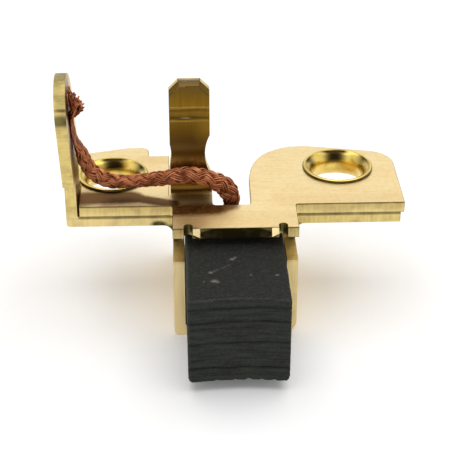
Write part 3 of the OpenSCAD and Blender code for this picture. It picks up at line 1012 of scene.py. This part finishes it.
def braid_tree(material):
    """Geometry nodes that wind wires both ways round a line, over and under each other."""
    tree = bpy.data.node_groups.new("pigtail_braid", "GeometryNodeTree")
    sockets = (
        ("Line", "Geometry"), ("Carriers", "Int"), ("Wires", "Int"), ("Samples", "Int"),
        ("Radians per metre", "Float"), ("Wire radius", "Float"), ("Lift", "Float"),
        ("Spread", "Float"),
    )
    for name, kind in sockets:
        tree.interface.new_socket(name, in_out="INPUT", socket_type="NodeSocket" + kind)
    tree.interface.new_socket("Geometry", in_out="OUTPUT", socket_type="NodeSocketGeometry")
    given = tree.nodes.new("NodeGroupInput")
    line, carriers, wires, samples, turning, radius, lift, spread = (
        Value(tree, given.outputs[name]) for name, _ in sockets
    )

    def node(kind, inputs=(), out=0, **settings):
        return add_node(tree, kind, inputs, out, **settings)

    curve = node("GeometryNodeMeshToCurve", {"Mesh": line})
    curve = node("GeometryNodeResampleCurve", {"Curve": curve, "Count": samples})
    twice = {"Geometry": curve, "Amount": carriers * wires * 2}
    copies = node("GeometryNodeDuplicateElements", twice, "Geometry", domain="SPLINE")
    index = Value(tree, copies.socket.node.outputs["Duplicate Index"])
    way = index.math("MODULO", 2.0) * 2 - 1
    pair = (index / 2.0).math("FLOOR")
    wire = pair.math("MODULO", wires)
    carrier = (pair / wires).math("FLOOR")
    length = node("GeometryNodeSplineParameter", out="Length")
    turned = length * turning
    offset = (wire - (wires - 1) / 2.0) * spread
    along, from_wire = STRAY_PLACES
    place = node("ShaderNodeCombineXYZ", [length * along, index * from_wire, 0.0])
    wander = {"Vector": place, "Scale": 1.0, "Detail": 2.0}
    stray = node("ShaderNodeTexNoise", wander, noise_dimensions="2D") - 0.5
    angle = (carrier + offset) * (2 * math.pi) / carriers + way * turned + stray * STRAY_TURN
    rise = way * lift * (turned * carriers).math("COSINE") + stray * STRAY_RISE + 1
    tangent = node("GeometryNodeInputTangent")
    across = node("ShaderNodeCombineXYZ", [0.0, 1.0, 0.0])
    lengthwise = scaled(tree, tangent, tangent.dot(across))
    wide_way = across.vector("SUBTRACT", lengthwise).vector("NORMALIZE")
    thick_way = tangent.vector("CROSS_PRODUCT", wide_way)

    def named(name):
        return node("GeometryNodeInputNamedAttribute", {"Name": name}, data_type="FLOAT")

    thick = scaled(tree, thick_way, named("thick") * rise * angle.math("COSINE"))
    wide = scaled(tree, wide_way, named("wide") * rise * angle.math("SINE"))
    wound = {"Geometry": copies, "Offset": thick.vector("ADD", wide)}
    moved = node("GeometryNodeSetPosition", wound)
    strand = node("ShaderNodeTexWhiteNoise", {"W": index}, "Value", noise_dimensions="1D")
    stored = {"Geometry": moved, "Name": "strand", "Value": strand}
    moved = node("GeometryNodeStoreNamedAttribute", stored, data_type="FLOAT", domain="CURVE")
    ring = node("GeometryNodeCurvePrimitiveCircle", {"Resolution": 5, "Radius": radius})
    sweep = {"Curve": moved, "Profile Curve": ring, "Fill Caps": True}
    swept = node("GeometryNodeCurveToMesh", sweep)
    swept = node("GeometryNodeRealizeInstances", {"Geometry": swept})
    swept = node("GeometryNodeSetShadeSmooth", {"Geometry": swept})
    finished = node("GeometryNodeSetMaterial", {"Geometry": swept, "Material": material})
    finished.feed(tree.nodes.new("NodeGroupOutput").inputs["Geometry"])
    return tree


def stray_wires(chooser):
    """The fringe of cut wires that fans out from the weld."""
    tubes = []
    ends, starts = np.array(FRAY_ENDS), np.array(FRAY_STARTS)
    bows = ((-0.12, 0.1), (-0.2, 0.2), (-0.25, 0.02))
    for i in range(FRAY_WIRES):
        t = i / (FRAY_WIRES - 1)
        x, z = ends[0] + ends[1] * t
        end = Vector((chooser.uniform(-0.12, 0.1), 0, chooser.uniform(-0.15, 0.12)))
        end += Vector((x, 0, z))
        end.y = WELD_Y + chooser.uniform(-0.85, 0.85)
        x, z = starts[0] + starts[1] * t
        start = Vector((x, WELD_Y + chooser.uniform(-0.9, 0.9), z))
        bow = Vector([chooser.uniform(*span) for span in bows])
        points = []
        for step in range(FRAY_STEPS):
            u = step / (FRAY_STEPS - 1)
            points.append((start.lerp(end, u) + bow * 4 * u * (1 - u)) * MM)
        tubes.append(tube(points, [(FRAY_RADIUS * MM,) * 2] * FRAY_STEPS, FRAY_SIDES))
    return tubes


class BRUSH_OT_pigtail(bpy.types.Operator):
    """Braids the copper pigtail along its route and frays it at the weld"""

    bl_idname = "brush.braid_pigtail"
    bl_label = "Braid the pigtail"

    def execute(self, context):
        look = context.scene.brush_pigtail
        copper = copper_finish(look)
        route = fine_route()
        mesh = bpy.data.meshes.new("pigtail_line")
        steps = range(len(route) - 1)
        mesh.from_pydata([tuple(p[:3] * MM) for p in route], [(i, i + 1) for i in steps], [])
        radius = BRAID_RADIUS * MM
        store(mesh, "thick", np.maximum(route[:, 3] * radius - look.wire, THINNEST * MM))
        store(mesh, "wide", route[:, 4] * (radius - look.wire))
        braid = add_object("pigtail_braid", mesh)
        tree = braid_tree(copper)
        modifier = braid.modifiers.new("braid", "NODES")
        modifier.node_group = tree
        values = {
            "Carriers": look.carriers, "Wires": look.wires, "Samples": BRAID_SAMPLES,
            "Radians per metre": 2 * math.pi / look.pitch, "Wire radius": look.wire / 2,
            "Lift": LIFT, "Spread": SPREAD,
        }
        for item in tree.interface.items_tree:
            if item.in_out == "INPUT" and item.name in values:
                modifier[item.identifier] = values[item.name]
        apply_modifiers(braid)
        core_tube = tube(route[:, :3] * MM, route[:, 3:] * CORE_SHARES * radius, CORE_SIDES)
        core = mesh_of_tubes("core", [core_tube])
        dark = Finish("braid_core", Metallic=0.8, Base_Color=(0.19, 0.06, 0.028, 1))
        dark.set(Roughness=dark.noise(3) * 0.3 + 0.5)
        core.materials.append(dark.material)
        core_piece = add_object("pigtail_core", core)
        tip = mesh_of_tubes("fray", stray_wires(random.Random(11)))
        tip.materials.append(copper)
        wire_size = FRAY_STEPS * FRAY_SIDES
        store(tip, "strand", [(i // wire_size * 0.37) % 1 for i in range(len(tip.vertices))])
        fray = add_object("pigtail_fray", tip)
        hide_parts("pigtail")
        for piece in (braid, core_piece):
            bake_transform(piece)
        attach(fray, "holder")
        return {"FINISHED"}


# -------- stage

# The camera: its place, its turn in degrees and its sensor's width, in millimetres
CAMERA_PLACE = (-4.948, -116.391, 69.338)
CAMERA_TURN = (59.363, 0.0, -1.891)
SENSOR = 36
# Metres: where the camera starts to see, half the floor's side, its depth below the part,
# and the lamp's side and place
CLIP_START = 0.005
FLOOR_HALF = 3.0
FLOOR_DROP = 0.00002
LAMP_SIDE = 0.6
LAMP_PLACE = (0.05, 0.05, 0.5)
# The floor's colour for the light that bounces off it, and its glow where it is seen
BOUNCED = (0.55, 0.55, 0.55)
GLOW = (0.09, 0.09, 0.09)


def shown_rays(tree):
    """1 for the rays that show a surface: straight, mirrored or through glass."""
    path = tree.nodes.new("ShaderNodeLightPath")
    seen = Value(tree, path.outputs["Is Camera Ray"])
    for name in ("Is Glossy Ray", "Is Transmission Ray"):
        seen = seen.math("MAXIMUM", Value(tree, path.outputs[name]))
    return seen


class BRUSH_OT_stage(bpy.types.Operator):
    """Sets the camera, the pale floor, the soft lamp and the even light"""

    bl_idname = "brush.set_stage"
    bl_label = "Set the stage"

    def execute(self, context):
        look = context.scene.brush_stage
        scene = context.scene
        scene.view_settings.view_transform = "Standard"
        lens = bpy.data.cameras.new("camera")
        lens.lens = look.lens
        lens.sensor_width = SENSOR
        lens.clip_start = CLIP_START
        camera = add_object("camera", lens)
        camera.location = Vector(CAMERA_PLACE) * MM
        camera.rotation_euler = Euler([math.radians(a) for a in CAMERA_TURN])
        scene.camera = camera

        level = CAD_BOX[0].z - FLOOR_DROP
        mesh = bpy.data.meshes.new("floor")
        ways = ((-1, -1), (1, -1), (1, 1), (-1, 1))
        corners = [(x * FLOOR_HALF, y * FLOOR_HALF, level) for x, y in ways]
        mesh.from_pydata(corners, [], [(0, 1, 2, 3)])
        floor = add_object("floor", mesh)
        paper = Finish("floor_paper", Roughness=0.9, Specular_IOR_Level=0.0)
        shown = shown_rays(paper.tree)
        paper.set(
            Base_Color=paper.mix(shown, BOUNCED, look.floor),
            Emission_Color=paper.mix(shown, (0, 0, 0), GLOW),
            Emission_Strength=1.0,
        )
        mesh.materials.append(paper.material)

        lamp = bpy.data.lights.new("overhead", "AREA")
        lamp.shape = "SQUARE"
        lamp.size = LAMP_SIDE
        lamp.energy = look.lamp
        add_object("overhead", lamp).location = LAMP_PLACE

        world = bpy.data.worlds.new("studio")
        world.use_nodes = True
        tree = world.node_tree
        background = tree.nodes["Background"]
        background.inputs["Color"].default_value = (1, 1, 1, 1)
        shown_rays(tree).ramp(0.0, 1.0, look.sky, 1.0).feed(background.inputs["Strength"])
        scene.world = world
        return {"FINISHED"}


# -------- add-on

STEPS = (BRUSH_OT_stage, BRUSH_OT_sheets, BRUSH_OT_eyelets, BRUSH_OT_block, BRUSH_OT_pigtail)


class BRUSH_PT_panel(bpy.types.Panel):
    """Sizes, colours and steps of the carbon brush"""

    bl_idname = "BRUSH_PT_panel"
    bl_label = "Carbon brush"
    bl_space_type = "VIEW_3D"
    bl_region_type = "UI"
    bl_category = "Brush"

    def draw(self, context):
        for name, group in SETTINGS.items():
            box = self.layout.box()
            settings = getattr(context.scene, name)
            for entry in group.__annotations__:
                box.prop(settings, entry)
        for step in STEPS:
            self.layout.operator(step.bl_idname)


CLASSES = (*SETTINGS.values(), *STEPS, BRUSH_PT_panel)


def register():
    for item in CLASSES:
        bpy.utils.register_class(item)
    for name, group in SETTINGS.items():
        setattr(bpy.types.Scene, name, PointerProperty(type=group))


def unregister():
    for name in SETTINGS:
        delattr(bpy.types.Scene, name)
    for item in reversed(CLASSES):
        bpy.utils.unregister_class(item)


def main():
    register()
    for step in STEPS:
        group, name = step.bl_idname.split(".")
        getattr(getattr(bpy.ops, group), name)()


if __name__ == "__main__":
    main()
